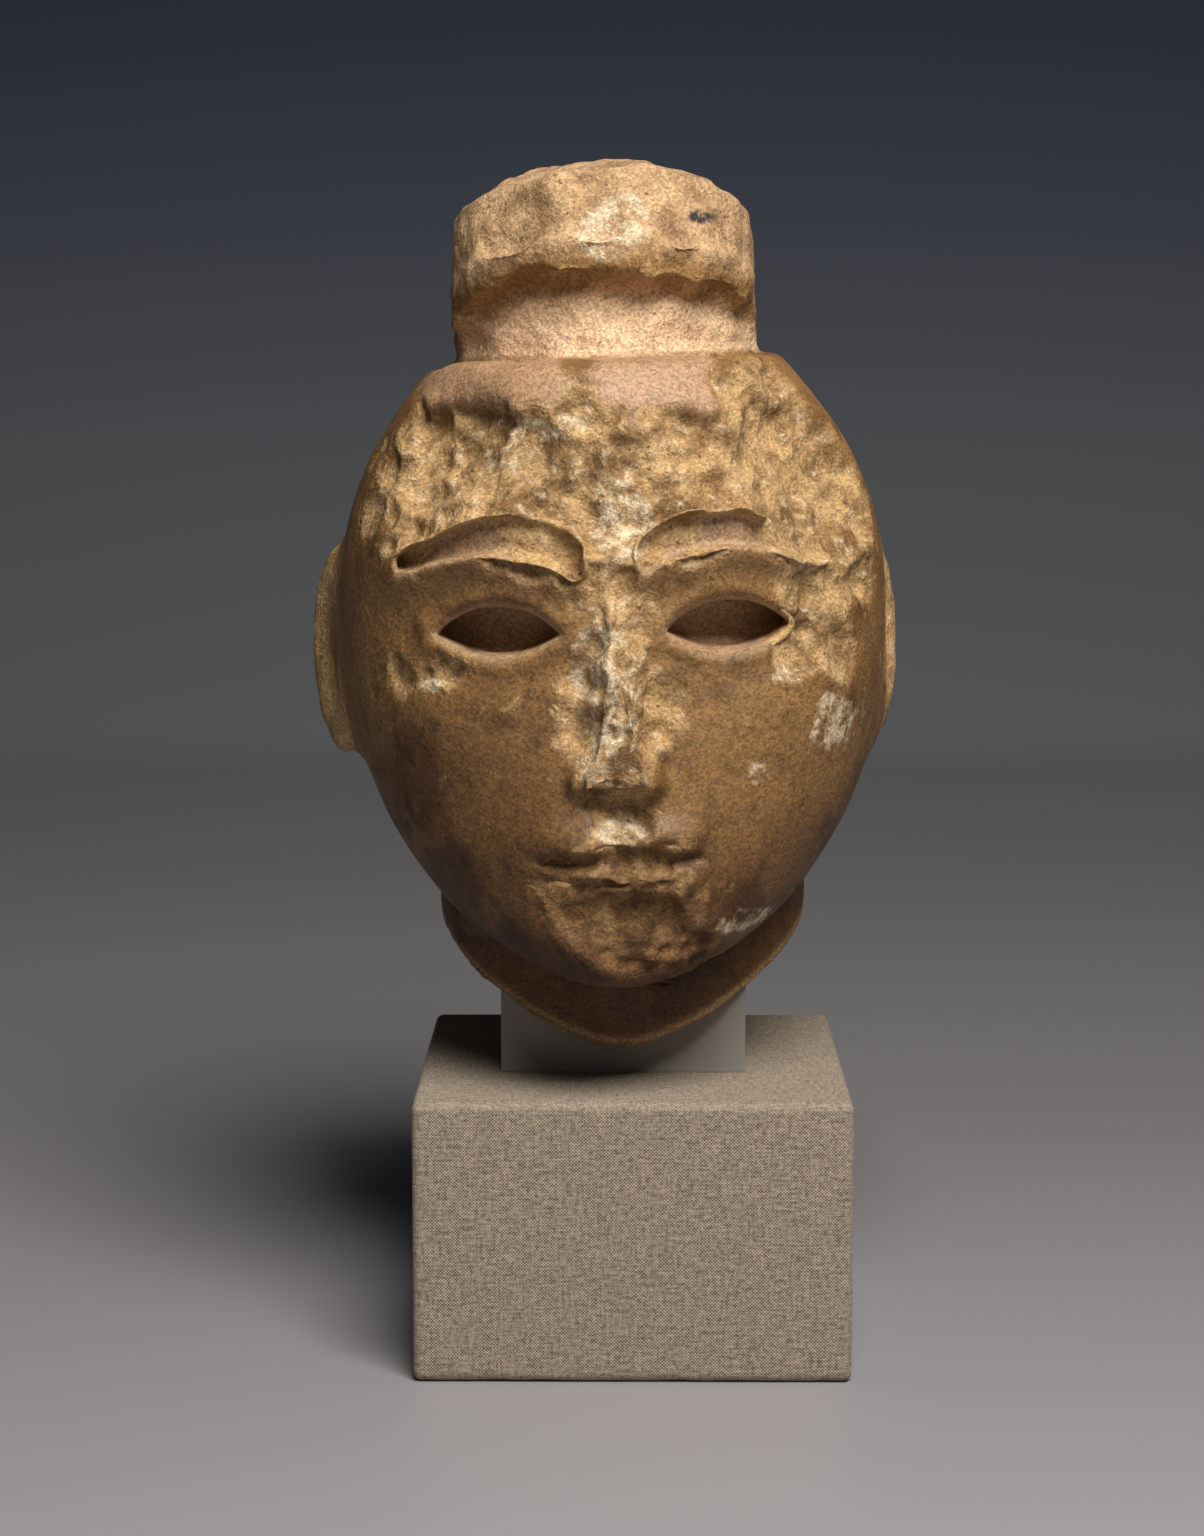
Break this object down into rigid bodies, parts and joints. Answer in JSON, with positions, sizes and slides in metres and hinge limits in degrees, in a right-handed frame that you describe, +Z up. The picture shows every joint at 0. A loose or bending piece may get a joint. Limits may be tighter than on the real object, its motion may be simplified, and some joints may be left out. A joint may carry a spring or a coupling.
{
  "type": "sculpted head",
  "caption": "Carved brown quartzite head from a composite statue, with hollow eyes, a broken nose and a stump for a lost crown, on a pale upright over a linen-covered block.",
  "frame": {"origin": "centre of the linen-covered block's underside", "axes": "+Z up through the head, the face looks along -Y, +X to the right of someone who looks at the face"},
  "size_m": [0.1671, 0.1673, 0.3333],
  "materials": {
    "quartzite": "matte",
    "painted_upright": "matte",
    "linen": "matte"
  },
  "bodies": {
    "root": {"carved_head": "quartzite", "mount_upright": "painted_upright", "linen_block": "linen"}
  },
  "joints": []
}
